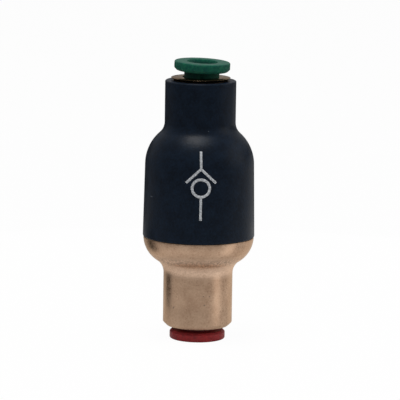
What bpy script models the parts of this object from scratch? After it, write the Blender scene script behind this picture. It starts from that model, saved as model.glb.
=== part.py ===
"""Inline non-return valve for 4 mm pneumatic tube.

The valve stands on its outlet button. Z runs up its axis, from the outlet button's face to the
inlet button's face. Air passes downwards only: it lifts a sprung poppet off a conical seat.
Lengths are in metres.
"""

import math

import bmesh
import bpy
from mathutils import Matrix

MM = 0.001

# Tube, and the room that parts leave each other
TUBE_RADIUS = 2.0 * MM
TUBE_ROOM = 0.06 * MM
FIT_GAP = 0.05 * MM
RUNNING_GAP = 0.06 * MM
TUBE_DEPTH = 12.85 * MM

# Release button: a collet with a head outside and barbed fingers inside
BUTTON_WALL = 0.54 * MM
HEAD_OVERHANG = 1.52 * MM
HEAD_THICKNESS = 1.35 * MM
HEAD_BACK_CHAMFER = 0.35 * MM
HEAD_FACE_CHAMFER = 0.12 * MM
MOUTH_FLARE = 0.24 * MM
MOUTH_LENGTH = 0.9 * MM
BUTTON_STROKE = 0.9 * MM
STROKE_ROOM = 0.08 * MM
BARB_HEIGHT = 0.4 * MM
BARB_LENGTH = 0.35 * MM
NOSE_TAPER = 0.8 * MM
NOSE_LENGTH = 0.6 * MM
NOSE_WALL = 0.29 * MM
FINGER_SLOTS = 4
FINGER_SLOT_WIDTH = 0.5 * MM

# Collar: holds the button by its barb and closes the cartridge
LIP_ROOM = 0.12 * MM
LIP_DEPTH = 0.8 * MM
BARB_ROOM = 0.2 * MM
COLLAR_WALL = 0.75 * MM
COLLAR_FLANGE = 0.42 * MM
COLLAR_OVERHANG = 0.38 * MM
COLLAR_CHAMFER = 0.08 * MM
COLLAR_EDGE = 0.1 * MM
TOOTH_REACH = 0.45 * MM

# Grip ring: a spring-steel washer with teeth bent inwards
GRIP_THICKNESS = 0.25 * MM
GRIP_RIM = 0.7 * MM
GRIP_BITE = 0.08 * MM
GRIP_SLOPE = math.radians(35)
GRIP_TEETH = 8
GRIP_SLOT_WIDTH = 0.5 * MM

# Thrust ring: backs the grip ring and holds the tube seal down
THRUST_FLEX_ROOM = 0.6 * MM
THRUST_FLOOR = 0.4 * MM
THRUST_BORE_ROOM = 0.15 * MM

# Tube seal: a lip ring
TUBE_SEAL_LENGTH = 1.2 * MM
TUBE_SEAL_BITE = 0.08 * MM
TUBE_SEAL_HEEL = 0.35 * MM
TUBE_SEAL_WEB = 0.55 * MM

# Passages and the conical seat
FLOW_RADIUS = 1.4 * MM
INLET_PORT_LENGTH = 2.0 * MM
SEAT_HEIGHT = 11.2 * MM
SEAT_MOUTH_ROOM = 0.6 * MM
OUTLET_PORT_LENGTH = 0.75 * MM
OUTLET_CONE_HEIGHT = 1.2 * MM

# Upper body: black polymer
BODY_RADIUS = 8.29 * MM
BODY_DRAFT = 0.22 * MM
UPPER_WALL = 1.69 * MM
UPPER_NECK_WALL = 1.25 * MM
UPPER_NECK_LENGTH = 6.22 * MM
SHOULDER_RADIUS = 6.18 * MM
SHOULDER_FILLET = 2.16 * MM
NECK_EDGE_RADIUS = 0.2 * MM
CHAMBER_STEP = 0.7 * MM
SEAM_CHAMFER = 0.1 * MM

# Lower body: plated brass
SEAM_STEP = 0.09 * MM
SEAM_ABOVE_STOP = 2.55 * MM
LOWER_NECK_WALL = 1.14 * MM
BOWL_RADIUS = 4.19 * MM
BOWL_FILLET = 2.28 * MM
FOOT_CHAMFER = 0.55 * MM
FOOT_RECESS = 0.35 * MM
SPIGOT_LENGTH = 5.5 * MM
SPIGOT_WALL = 1.65 * MM
SPIGOT_CHAMFER = 0.2 * MM
SPIGOT_END_ROOM = 0.1 * MM
GROOVE_DEPTH = 0.95 * MM
GROOVE_FROM_END = 0.5 * MM
GROOVE_SIDE_ROOM = 0.14 * MM

# Spring guide: a brass disc with a hub and flow ports
GUIDE_RISE = 1.6 * MM
GUIDE_LEDGE = 0.7 * MM
GUIDE_THICKNESS = 1.2 * MM
HUB_WALL = 0.44 * MM
HUB_BELOW = 1.2 * MM
PORT_COUNT = 4
PORT_LAND = 0.18 * MM

# Poppet and spring
POPPET_RADIUS = 2.9 * MM
POPPET_FLANGE = 0.8 * MM
POPPET_LIFT = 2.2 * MM
STEM_RADIUS = 0.8 * MM
STEM_TAIL = 0.3 * MM
BOSS_HEIGHT = 1.5 * MM
SEAL_PIN_RADIUS = 1.0 * MM
SEAL_BAND = 0.4 * MM
SEAL_TOP_RADIUS = 1.75 * MM
NOSE_CAP_HEIGHT = 0.6 * MM
NOSE_CAP_ROOM = 0.2 * MM
NOSE_SHANK_RADIUS = 0.5 * MM
NOSE_SHANK_LENGTH = 1.1 * MM
WIRE_RADIUS = 0.13 * MM
SPRING_ROOM = 0.25 * MM
SPRING_ACTIVE_TURNS = 4
SPRING_END_PITCH = 1.1

# Facets
BODY_SEGMENTS = 40
RING_SEGMENTS = 32
PIN_SEGMENTS = 20
WIRE_POINTS_PER_TURN = 14
HOLE_SEGMENTS = 16
SHOULDER_FACETS = 8
BOWL_FACETS = 7
FILLET_FACETS = 5
EDGE_FACETS = 2
SEAL_FACETS = 10

# Radii of the push-in end, from the tube outwards
BORE_RADIUS = TUBE_RADIUS + TUBE_ROOM
BUTTON_STEM_RADIUS = BORE_RADIUS + BUTTON_WALL
HEAD_RADIUS = BUTTON_STEM_RADIUS + HEAD_OVERHANG
BARB_RADIUS = BUTTON_STEM_RADIUS + BARB_HEIGHT
LIP_RADIUS = BUTTON_STEM_RADIUS + LIP_ROOM
UNDERCUT_RADIUS = BARB_RADIUS + BARB_ROOM
SKIRT_RADIUS = UNDERCUT_RADIUS + COLLAR_WALL
CARTRIDGE_RADIUS = SKIRT_RADIUS + FIT_GAP
COLLAR_RADIUS = CARTRIDGE_RADIUS + COLLAR_OVERHANG

# Depths of the push-in end, from the collar's face inwards
BUTTON_GAP = BUTTON_STROKE + STROKE_ROOM
BARB_TOP = LIP_DEPTH + RUNNING_GAP
NOSE_START = BARB_TOP + BARB_LENGTH + NOSE_TAPER
NOSE_END = NOSE_START + NOSE_LENGTH
GRIP_BEND_RADIUS = SKIRT_RADIUS - GRIP_RIM
NOSE_TIP_RADIUS = BORE_RADIUS + NOSE_WALL
COLLAR_LENGTH = (
    NOSE_END + TOOTH_REACH - FIT_GAP - (GRIP_BEND_RADIUS - NOSE_TIP_RADIUS) * math.tan(GRIP_SLOPE)
)
GRIP_TOP = COLLAR_LENGTH + FIT_GAP
TOOTH_TIP_RADIUS = TUBE_RADIUS - GRIP_BITE
TOOTH_DROP = (GRIP_BEND_RADIUS - TOOTH_TIP_RADIUS) * math.tan(GRIP_SLOPE)
THRUST_TOP = GRIP_TOP + GRIP_THICKNESS + FIT_GAP
THRUST_FLOOR_TOP = GRIP_TOP + TOOTH_DROP + GRIP_THICKNESS + THRUST_FLEX_ROOM
THRUST_END = THRUST_FLOOR_TOP + THRUST_FLOOR
TUBE_SEAL_TOP = THRUST_END + FIT_GAP
TUBE_SEAL_END = TUBE_SEAL_TOP + TUBE_SEAL_LENGTH
CARTRIDGE_DEPTH = TUBE_SEAL_END + FIT_GAP
COLLAR_SEAT = COLLAR_FLANGE + FIT_GAP

# Heights, from the outlet button's face upwards
OUTLET_COLLAR_Z = HEAD_THICKNESS + BUTTON_GAP
FOOT_Z = OUTLET_COLLAR_Z - FOOT_RECESS
SEAM_Z = TUBE_DEPTH + SEAM_ABOVE_STOP
GUIDE_SEAT_Z = SEAM_Z + GUIDE_RISE
GUIDE_BOTTOM_Z = GUIDE_SEAT_Z + FIT_GAP
GUIDE_TOP_Z = GUIDE_BOTTOM_Z + GUIDE_THICKNESS
SPIGOT_TOP_Z = SEAM_Z + SPIGOT_LENGTH
SEAT_TOP_Z = SEAM_Z + SEAT_HEIGHT
INLET_STOP_Z = SEAT_TOP_Z + INLET_PORT_LENGTH
TOTAL_HEIGHT = INLET_STOP_Z + TUBE_DEPTH
INLET_COLLAR_Z = TOTAL_HEIGHT - HEAD_THICKNESS - BUTTON_GAP
NECK_TOP_Z = INLET_COLLAR_Z - COLLAR_SEAT

# Radii of the two halves, from their outside inwards
UPPER_NECK_RADIUS = CARTRIDGE_RADIUS + UPPER_NECK_WALL
LOWER_NECK_RADIUS = CARTRIDGE_RADIUS + LOWER_NECK_WALL
SHOULDER_EDGE_RADIUS = BODY_RADIUS - BODY_DRAFT
LOWER_BODY_RADIUS = BODY_RADIUS - SEAM_STEP
SPIGOT_BORE_RADIUS = BODY_RADIUS - UPPER_WALL
SPIGOT_RADIUS = SPIGOT_BORE_RADIUS - FIT_GAP
GUIDE_BORE_RADIUS = SPIGOT_RADIUS - SPIGOT_WALL
GUIDE_CHAMBER_RADIUS = GUIDE_BORE_RADIUS - GUIDE_LEDGE
CHAMBER_RADIUS = SPIGOT_BORE_RADIUS - CHAMBER_STEP
GROOVE_FLOOR_RADIUS = SPIGOT_RADIUS - GROOVE_DEPTH
BODY_SEAL_RADIUS = (SPIGOT_BORE_RADIUS - GROOVE_FLOOR_RADIUS) / 2 - FIT_GAP
GROOVE_WIDTH = 2 * (BODY_SEAL_RADIUS + GROOVE_SIDE_ROOM)
GROOVE_TOP_Z = SPIGOT_TOP_Z - GROOVE_FROM_END
HUB_BORE_RADIUS = STEM_RADIUS + RUNNING_GAP
HUB_RADIUS = HUB_BORE_RADIUS + HUB_WALL

# Poppet heights and radii, hung from the seat
SEAT_MOUTH_RADIUS = POPPET_RADIUS + SEAT_MOUTH_ROOM
CHAMBER_ROOF_Z = SEAT_TOP_Z - (SEAT_MOUTH_RADIUS - FLOW_RADIUS)
SEAL_DROP = FIT_GAP * math.sqrt(2)
SEAL_SHOULDER_Z = SEAT_TOP_Z - (POPPET_RADIUS - FLOW_RADIUS) - SEAL_DROP
SEAL_BOTTOM_Z = SEAL_SHOULDER_Z - SEAL_BAND
SEAL_TOP_Z = SEAT_TOP_Z - (SEAL_TOP_RADIUS - FLOW_RADIUS) - SEAL_DROP
FLANGE_TOP_Z = SEAL_BOTTOM_Z - FIT_GAP
FLANGE_BOTTOM_Z = FLANGE_TOP_Z - POPPET_FLANGE
BOSS_BOTTOM_Z = FLANGE_BOTTOM_Z - BOSS_HEIGHT
HUB_TOP_Z = BOSS_BOTTOM_Z - POPPET_LIFT - RUNNING_GAP
HUB_BOTTOM_Z = GUIDE_BOTTOM_Z - HUB_BELOW
STEM_END_Z = HUB_BOTTOM_Z - STEM_TAIL
NOSE_CAP_RADIUS = FLOW_RADIUS - NOSE_CAP_ROOM
SPRING_RADIUS = HUB_RADIUS + SPRING_ROOM + WIRE_RADIUS
SPRING_OUTER_RADIUS = SPRING_RADIUS + WIRE_RADIUS


def clear_scene():
    for thing in list(bpy.data.objects):
        bpy.data.objects.remove(thing, do_unlink=True)


def linear(byte):
    """One sRGB channel, 0 to 255, as linear light."""
    share = byte / 255
    return share / 12.92 if share <= 0.04045 else ((share + 0.055) / 1.055) ** 2.4


def material(name, rgb, roughness, metallic=0.0):
    made = bpy.data.materials.new(name)
    made.use_nodes = True
    shader = made.node_tree.nodes["Principled BSDF"]
    shader.inputs["Base Color"].default_value = [linear(channel) for channel in rgb] + [1.0]
    shader.inputs["Roughness"].default_value = roughness
    shader.inputs["Metallic"].default_value = metallic
    return made


def arc(centre, radius, start_deg, end_deg, steps):
    """Points (r, z) along an arc, both ends included."""
    angles = [math.radians(start_deg + (end_deg - start_deg) * i / steps) for i in range(steps + 1)]
    return [(centre[0] + radius * math.cos(a), centre[1] + radius * math.sin(a)) for a in angles]


def place(name, mesh, finish, parent=None):
    """An object of this mesh, shaded smooth up to its real edges."""
    mesh.shade_smooth()
    mesh.set_sharp_from_angle(angle=math.radians(30))
    mesh.materials.append(finish)
    made = bpy.data.objects.new(name, mesh)
    bpy.context.scene.collection.objects.link(made)
    made.parent = parent
    return made


def turned(name, outline, segments, finish, parent=None):
    """A solid of revolution. An outline that starts and ends on the axis stays open there."""
    shape = bmesh.new()
    corners = [shape.verts.new((r, 0, z)) for r, z in outline]
    for first, second in zip(corners, corners[1:]):
        shape.edges.new((first, second))
    if outline[0][0] > 0:
        shape.edges.new((corners[-1], corners[0]))
    bmesh.ops.spin(
        shape,
        geom=shape.verts[:] + shape.edges[:],
        cent=(0, 0, 0),
        axis=(0, 0, 1),
        angle=2 * math.pi,
        steps=segments,
        use_merge=True,
    )
    bmesh.ops.remove_doubles(shape, verts=shape.verts, dist=0.0001 * MM)
    bmesh.ops.recalc_face_normals(shape, faces=shape.faces)
    mesh = bpy.data.meshes.new(name)
    shape.to_mesh(mesh)
    shape.free()
    return place(name, mesh, finish, parent)


def cut(target, cutter):
    """Subtract a cutter, which stays in the scene as a hidden guide."""
    cutter.hide_render = True
    cutter.display_type = "WIRE"
    step = target.modifiers.new("cut", "BOOLEAN")
    step.operation = "DIFFERENCE"
    step.object = cutter


def radial_slots(name, count, width, inner, outer, low, high, parent=None):
    """A cutter of boxes set round the axis, each running out from inner to outer."""
    shape = bmesh.new()
    for i in range(count):
        box = bmesh.ops.create_cube(shape, size=1)["verts"]
        bmesh.ops.scale(shape, verts=box, vec=(outer - inner, width, high - low))
        bmesh.ops.translate(shape, verts=box, vec=((inner + outer) / 2, 0, (low + high) / 2))
        turn = Matrix.Rotation(2 * math.pi * (i + 0.5) / count, 4, "Z")
        bmesh.ops.transform(shape, matrix=turn, verts=box)
    mesh = bpy.data.meshes.new(name)
    shape.to_mesh(mesh)
    shape.free()
    made = bpy.data.objects.new(name, mesh)
    bpy.context.scene.collection.objects.link(made)
    made.parent = parent
    return made


def round_holes(name, count, hole_radius, circle_radius, low, high):
    """A cutter of cylinders on a circle."""
    shape = bmesh.new()
    for i in range(count):
        angle = 2 * math.pi * (i + 0.5) / count
        centre = (circle_radius * math.cos(angle), circle_radius * math.sin(angle), (low + high) / 2)
        bmesh.ops.create_cone(
            shape,
            cap_ends=True,
            segments=HOLE_SEGMENTS,
            radius1=hole_radius,
            radius2=hole_radius,
            depth=high - low,
            matrix=Matrix.Translation(centre),
        )
    mesh = bpy.data.meshes.new(name)
    shape.to_mesh(mesh)
    shape.free()
    made = bpy.data.objects.new(name, mesh)
    bpy.context.scene.collection.objects.link(made)
    return made


def release_button(name, finish, parent):
    """Collet: the head stands out of the collar, and four barbed fingers spring inside it."""
    head_face = -(BUTTON_GAP + HEAD_THICKNESS)
    outline = [
        (BORE_RADIUS + MOUTH_FLARE, head_face),
        (HEAD_RADIUS - HEAD_FACE_CHAMFER, head_face),
        (HEAD_RADIUS, head_face + HEAD_FACE_CHAMFER),
        (HEAD_RADIUS, -BUTTON_GAP - HEAD_BACK_CHAMFER),
        (HEAD_RADIUS - HEAD_BACK_CHAMFER, -BUTTON_GAP),
        (BUTTON_STEM_RADIUS, -BUTTON_GAP),
        (BUTTON_STEM_RADIUS, BARB_TOP),
        (BARB_RADIUS, BARB_TOP),
        (BARB_RADIUS, BARB_TOP + BARB_LENGTH),
        (NOSE_TIP_RADIUS, NOSE_START),
        (NOSE_TIP_RADIUS, NOSE_END),
        (BORE_RADIUS, NOSE_END),
        (BORE_RADIUS, head_face + MOUTH_LENGTH),
    ]
    button = turned(name, outline, RING_SEGMENTS, finish, parent)
    slots = radial_slots(
        name + "_slots",
        FINGER_SLOTS,
        FINGER_SLOT_WIDTH,
        BORE_RADIUS / 2,
        UNDERCUT_RADIUS,
        LIP_DEPTH / 2,
        NOSE_END + NOSE_LENGTH,
        parent,
    )
    cut(button, slots)
    return button


def collar(name, finish, parent):
    """Flared ring with a lip that stops the barb and a skirt that holds the grip ring down."""
    outline = [
        (LIP_RADIUS, 0),
        (COLLAR_RADIUS - COLLAR_CHAMFER, 0),
        (COLLAR_RADIUS, COLLAR_CHAMFER),
        (COLLAR_RADIUS, COLLAR_CHAMFER + COLLAR_EDGE),
        (SKIRT_RADIUS, COLLAR_FLANGE),
        (SKIRT_RADIUS, COLLAR_LENGTH),
        (UNDERCUT_RADIUS, COLLAR_LENGTH),
        (UNDERCUT_RADIUS, LIP_DEPTH),
        (LIP_RADIUS, LIP_DEPTH),
    ]
    return turned(name, outline, RING_SEGMENTS, finish, parent)


def grip_ring(name, finish, parent):
    """Flat rim with teeth bent inwards, slotted from one cone."""
    across = GRIP_THICKNESS * math.sin(GRIP_SLOPE)
    along = GRIP_THICKNESS * math.cos(GRIP_SLOPE)
    outline = [
        (SKIRT_RADIUS, GRIP_TOP),
        (SKIRT_RADIUS, GRIP_TOP + GRIP_THICKNESS),
        (GRIP_BEND_RADIUS + GRIP_THICKNESS * math.tan(GRIP_SLOPE / 2), GRIP_TOP + GRIP_THICKNESS),
        (TOOTH_TIP_RADIUS + across, GRIP_TOP + TOOTH_DROP + along),
        (TOOTH_TIP_RADIUS, GRIP_TOP + TOOTH_DROP),
        (GRIP_BEND_RADIUS, GRIP_TOP),
    ]
    ring = turned(name, outline, RING_SEGMENTS, finish, parent)
    slots = radial_slots(
        name + "_slots",
        GRIP_TEETH,
        GRIP_SLOT_WIDTH,
        TOOTH_TIP_RADIUS / 2,
        GRIP_BEND_RADIUS,
        GRIP_TOP - GRIP_THICKNESS,
        THRUST_END,
        parent,
    )
    cut(ring, slots)
    return ring


def thrust_ring(name, finish, parent):
    """Cup that backs the rim of the grip ring and leaves its teeth room to bend."""
    wall_radius = GRIP_BEND_RADIUS + GRIP_THICKNESS
    floor_radius = BORE_RADIUS + THRUST_BORE_ROOM
    outline = [
        (wall_radius, THRUST_TOP),
        (SKIRT_RADIUS, THRUST_TOP),
        (SKIRT_RADIUS, THRUST_END),
        (floor_radius, THRUST_END),
        (floor_radius, THRUST_FLOOR_TOP),
        (wall_radius, THRUST_FLOOR_TOP),
    ]
    return turned(name, outline, RING_SEGMENTS, finish, parent)


def tube_seal(name, finish, parent):
    """Rubber ring whose inner lip points towards the pressure."""
    lip_radius = TUBE_RADIUS - TUBE_SEAL_BITE
    heel_radius = BORE_RADIUS + TUBE_SEAL_HEEL
    width = SKIRT_RADIUS - heel_radius
    outline = [
        (heel_radius, TUBE_SEAL_TOP),
        (SKIRT_RADIUS, TUBE_SEAL_TOP),
        (SKIRT_RADIUS, TUBE_SEAL_END),
        (SKIRT_RADIUS - width / 3, TUBE_SEAL_END),
        (SKIRT_RADIUS - width / 2, TUBE_SEAL_TOP + TUBE_SEAL_WEB),
        (heel_radius + width / 8, TUBE_SEAL_END),
        (lip_radius, TUBE_SEAL_END - TUBE_SEAL_LENGTH / 8),
    ]
    return turned(name, outline, RING_SEGMENTS, finish, parent)


def push_in_end(side, height, looks_up, button_finish, finishes):
    """The five pieces that grip, seal and release one tube, set in from their collar's face."""
    seat = bpy.data.objects.new(side + "_end", None)
    bpy.context.scene.collection.objects.link(seat)
    seat.location = (0, 0, height)
    seat.rotation_euler = (math.pi if looks_up else 0, 0, 0)
    release_button(side + "_release_button", button_finish, seat)
    collar(side + "_collar", finishes["brass"], seat)
    grip_ring(side + "_grip_ring", finishes["steel"], seat)
    thrust_ring(side + "_thrust_ring", finishes["acetal"], seat)
    tube_seal(side + "_tube_seal", finishes["rubber"], seat)


def shoulder_curve():
    """The black half's outside from its side to its neck: a round shoulder and a hollow fillet."""
    crown = (SHOULDER_EDGE_RADIUS - SHOULDER_RADIUS, 0)
    across = UPPER_NECK_RADIUS + SHOULDER_FILLET - crown[0]
    reach = SHOULDER_RADIUS + SHOULDER_FILLET
    rise = math.sqrt(reach**2 - across**2)
    fillet_z = NECK_TOP_Z - UPPER_NECK_LENGTH
    crown_z = fillet_z - rise
    meet = math.degrees(math.atan2(rise, across))
    shoulder = arc((crown[0], crown_z), SHOULDER_RADIUS, 0, meet, SHOULDER_FACETS)
    fillet_centre = (UPPER_NECK_RADIUS + SHOULDER_FILLET, fillet_z)
    fillet = arc(fillet_centre, SHOULDER_FILLET, 180 + meet, 180, FILLET_FACETS)
    return shoulder + fillet[1:]


def upper_body(finish):
    """Black half: neck with the inlet cartridge, tube socket, valve seat, chamber and skirt."""
    bottom = SEAM_Z + FIT_GAP
    edge_centre = (UPPER_NECK_RADIUS - NECK_EDGE_RADIUS, NECK_TOP_Z - NECK_EDGE_RADIUS)
    socket_z = INLET_COLLAR_Z - CARTRIDGE_DEPTH
    step_z = SPIGOT_TOP_Z + SPIGOT_END_ROOM
    outside = [(BODY_RADIUS - SEAM_CHAMFER, bottom), (BODY_RADIUS, bottom + SEAM_CHAMFER)]
    inside = [
        (CARTRIDGE_RADIUS, NECK_TOP_Z),
        (CARTRIDGE_RADIUS, socket_z),
        (BORE_RADIUS, socket_z),
        (BORE_RADIUS, INLET_STOP_Z),
        (FLOW_RADIUS, INLET_STOP_Z),
        (FLOW_RADIUS, SEAT_TOP_Z),
        (SEAT_MOUTH_RADIUS, CHAMBER_ROOF_Z),
        (CHAMBER_RADIUS, CHAMBER_ROOF_Z),
        (CHAMBER_RADIUS, step_z),
        (SPIGOT_BORE_RADIUS, step_z),
        (SPIGOT_BORE_RADIUS, bottom + SPIGOT_CHAMFER),
        (SPIGOT_BORE_RADIUS + SPIGOT_CHAMFER, bottom),
    ]
    neck_edge = arc(edge_centre, NECK_EDGE_RADIUS, 0, 90, EDGE_FACETS)
    outline = outside + shoulder_curve() + neck_edge + inside
    return turned("upper_body", outline, BODY_SEGMENTS, finish)


def bowl_curve():
    """The brass half's outside from its neck to the seam: a hollow fillet and a round bowl."""
    bowl_centre = LOWER_BODY_RADIUS - BOWL_RADIUS
    across = LOWER_NECK_RADIUS + BOWL_FILLET - bowl_centre
    reach = BOWL_RADIUS + BOWL_FILLET
    drop = math.sqrt(reach**2 - across**2)
    meet = math.degrees(math.atan2(drop, across))
    fillet_centre = (LOWER_NECK_RADIUS + BOWL_FILLET, SEAM_Z - drop)
    fillet = arc(fillet_centre, BOWL_FILLET, 180, 180 - meet, FILLET_FACETS)
    bowl = arc((bowl_centre, SEAM_Z), BOWL_RADIUS, -meet, 0, BOWL_FACETS)
    return fillet + bowl[1:]


def lower_body(finish):
    """Brass half: foot with the outlet cartridge, tube socket, guide seat and grooved spigot."""
    socket_z = OUTLET_COLLAR_Z + CARTRIDGE_DEPTH
    collar_seat_z = OUTLET_COLLAR_Z + COLLAR_SEAT
    groove_low = GROOVE_TOP_Z - GROOVE_WIDTH
    cone_z = TUBE_DEPTH + OUTLET_PORT_LENGTH
    outside = [(LOWER_NECK_RADIUS - FOOT_CHAMFER, FOOT_Z), (LOWER_NECK_RADIUS, FOOT_Z + FOOT_CHAMFER)]
    spigot = [
        (SPIGOT_RADIUS, SEAM_Z),
        (SPIGOT_RADIUS, groove_low),
        (GROOVE_FLOOR_RADIUS, groove_low),
        (GROOVE_FLOOR_RADIUS, GROOVE_TOP_Z),
        (SPIGOT_RADIUS, GROOVE_TOP_Z),
        (SPIGOT_RADIUS, SPIGOT_TOP_Z - SPIGOT_CHAMFER),
        (SPIGOT_RADIUS - SPIGOT_CHAMFER, SPIGOT_TOP_Z),
    ]
    inside = [
        (GUIDE_BORE_RADIUS, SPIGOT_TOP_Z),
        (GUIDE_BORE_RADIUS, GUIDE_SEAT_Z),
        (GUIDE_CHAMBER_RADIUS, GUIDE_SEAT_Z),
        (GUIDE_CHAMBER_RADIUS, cone_z + OUTLET_CONE_HEIGHT),
        (FLOW_RADIUS, cone_z),
        (FLOW_RADIUS, TUBE_DEPTH),
        (BORE_RADIUS, TUBE_DEPTH),
        (BORE_RADIUS, socket_z),
        (CARTRIDGE_RADIUS, socket_z),
        (CARTRIDGE_RADIUS, collar_seat_z),
        (COLLAR_RADIUS + FIT_GAP, collar_seat_z),
        (COLLAR_RADIUS + FIT_GAP, FOOT_Z),
    ]
    outline = outside + bowl_curve() + spigot + inside
    return turned("lower_body", outline, BODY_SEGMENTS, finish)


def body_seal(finish):
    """Round rubber ring in the spigot's groove."""
    centre = (SPIGOT_BORE_RADIUS - FIT_GAP - BODY_SEAL_RADIUS, GROOVE_TOP_Z - GROOVE_WIDTH / 2)
    outline = arc(centre, BODY_SEAL_RADIUS, 0, 360, SEAL_FACETS)[:-1]
    return turned("body_seal", outline, BODY_SEGMENTS, finish)


def spring_guide(finish):
    """Disc on the ledge in the spigot, with a hub that guides the stem and stops the poppet."""
    outline = [
        (HUB_BORE_RADIUS, HUB_BOTTOM_Z),
        (HUB_RADIUS, HUB_BOTTOM_Z),
        (HUB_RADIUS, GUIDE_BOTTOM_Z),
        (GUIDE_BORE_RADIUS - FIT_GAP, GUIDE_BOTTOM_Z),
        (GUIDE_BORE_RADIUS - FIT_GAP, GUIDE_TOP_Z),
        (HUB_RADIUS, GUIDE_TOP_Z),
        (HUB_RADIUS, HUB_TOP_Z),
        (HUB_BORE_RADIUS, HUB_TOP_Z),
    ]
    guide = turned("spring_guide", outline, BODY_SEGMENTS, finish)
    port_room = (GUIDE_CHAMBER_RADIUS - SPRING_OUTER_RADIUS) / 2
    ports = round_holes(
        "spring_guide_ports",
        PORT_COUNT,
        port_room - PORT_LAND,
        SPRING_OUTER_RADIUS + port_room,
        GUIDE_BOTTOM_Z - GUIDE_THICKNESS / 2,
        GUIDE_TOP_Z + GUIDE_THICKNESS / 2,
    )
    cut(guide, ports)
    return guide


def poppet_stem(finish, parent):
    """Turned brass: guide stem, boss, flange, and a pin that the seal and the nose sit on."""
    pin_top = SEAL_TOP_Z - FIT_GAP
    hole_radius = NOSE_SHANK_RADIUS + FIT_GAP
    hole_bottom = pin_top - NOSE_SHANK_LENGTH
    outline = [
        (0, STEM_END_Z),
        (STEM_RADIUS, STEM_END_Z),
        (STEM_RADIUS, BOSS_BOTTOM_Z),
        (HUB_RADIUS, BOSS_BOTTOM_Z),
        (HUB_RADIUS, FLANGE_BOTTOM_Z),
        (POPPET_RADIUS, FLANGE_BOTTOM_Z),
        (POPPET_RADIUS, FLANGE_TOP_Z),
        (SEAL_PIN_RADIUS, FLANGE_TOP_Z),
        (SEAL_PIN_RADIUS, pin_top),
        (hole_radius, pin_top),
        (hole_radius, hole_bottom),
        (0, hole_bottom),
    ]
    return turned("poppet_stem", outline, PIN_SEGMENTS, finish, parent)


def poppet_seal(finish, parent):
    """Rubber ring whose cone lies against the seat."""
    inner = SEAL_PIN_RADIUS + FIT_GAP
    outline = [
        (inner, SEAL_BOTTOM_Z),
        (POPPET_RADIUS, SEAL_BOTTOM_Z),
        (POPPET_RADIUS, SEAL_SHOULDER_Z),
        (SEAL_TOP_RADIUS, SEAL_TOP_Z),
        (inner, SEAL_TOP_Z),
    ]
    return turned("poppet_seal", outline, BODY_SEGMENTS, finish, parent)


def poppet_nose(finish, parent):
    """Cap that keeps the seal on the pin, with a shank pressed into it."""
    cap_bottom = SEAL_TOP_Z + FIT_GAP
    cap_top = cap_bottom + NOSE_CAP_HEIGHT
    shank_bottom = SEAL_TOP_Z - NOSE_SHANK_LENGTH + FIT_GAP
    outline = [
        (0, shank_bottom),
        (NOSE_SHANK_RADIUS, shank_bottom),
        (NOSE_SHANK_RADIUS, cap_bottom),
        (NOSE_CAP_RADIUS, cap_bottom),
        (NOSE_CAP_RADIUS, cap_bottom + NOSE_CAP_HEIGHT / 3),
        (NOSE_CAP_RADIUS / 2, cap_top),
        (0, cap_top),
    ]
    return turned("poppet_nose", outline, PIN_SEGMENTS, finish, parent)


def spring(finish):
    """Compression spring between the guide and the poppet's flange, its end turns closed."""
    low = GUIDE_TOP_Z + FIT_GAP + WIRE_RADIUS
    high = FLANGE_BOTTOM_Z - FIT_GAP - WIRE_RADIUS
    end_rise = 2 * WIRE_RADIUS * SPRING_END_PITCH
    turns = SPRING_ACTIVE_TURNS + 2
    count = turns * WIRE_POINTS_PER_TURN
    wire = bpy.data.curves.new("spring", "CURVE")
    wire.dimensions = "3D"
    wire.bevel_depth = WIRE_RADIUS
    wire.bevel_resolution = 1
    wire.use_fill_caps = True
    line = wire.splines.new("POLY")
    line.points.add(count)
    for i, point in enumerate(line.points):
        turn = i / WIRE_POINTS_PER_TURN
        active = min(max(turn - 1, 0), SPRING_ACTIVE_TURNS) / SPRING_ACTIVE_TURNS
        closed = turn - active * SPRING_ACTIVE_TURNS
        z = low + closed * end_rise + active * (high - low - 2 * end_rise)
        angle = 2 * math.pi * turn
        point.co = (SPRING_RADIUS * math.cos(angle), SPRING_RADIUS * math.sin(angle), z, 1)
    wire.materials.append(finish)
    made = bpy.data.objects.new("spring", wire)
    bpy.context.scene.collection.objects.link(made)
    return made


def build():
    clear_scene()
    finishes = {
        "black": material("black polymer", (17, 25, 34), 0.45),
        "brass": material("nickel-plated brass", (170, 146, 124), 0.25, 1.0),
        "green": material("green polymer", (28, 84, 62), 0.4),
        "red": material("red polymer", (128, 40, 38), 0.4),
        "steel": material("stainless spring steel", (176, 176, 172), 0.3, 1.0),
        "acetal": material("natural acetal", (225, 222, 212), 0.5),
        "rubber": material("nitrile rubber", (26, 26, 27), 0.7),
    }
    upper_body(finishes["black"])
    lower_body(finishes["brass"])
    push_in_end("inlet", INLET_COLLAR_Z, True, finishes["green"], finishes)
    push_in_end("outlet", OUTLET_COLLAR_Z, False, finishes["red"], finishes)
    body_seal(finishes["rubber"])
    spring_guide(finishes["brass"])
    spring(finishes["steel"])
    poppet = bpy.data.objects.new("poppet", None)
    bpy.context.scene.collection.objects.link(poppet)
    poppet_stem(finishes["brass"], poppet)
    poppet_seal(finishes["rubber"], poppet)
    poppet_nose(finishes["brass"], poppet)


build()
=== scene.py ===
# %% [markdown]
# # An inline non-return valve for 4 mm tube
#
# The valve has a black moulded half, a plated brass half, and a push-in socket with a coloured
# release button at each end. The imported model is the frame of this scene: it says where every piece
# is and what moves. The script lays finer pieces over the parts that show, gives every surface its
# finish, and then sets up a small studio. Lengths are written in millimetres and turned into metres.

# %% Load the frame
import math

import bmesh
import bpy
from mathutils import Matrix, Vector
from mathutils.bvhtree import BVHTree


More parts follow.
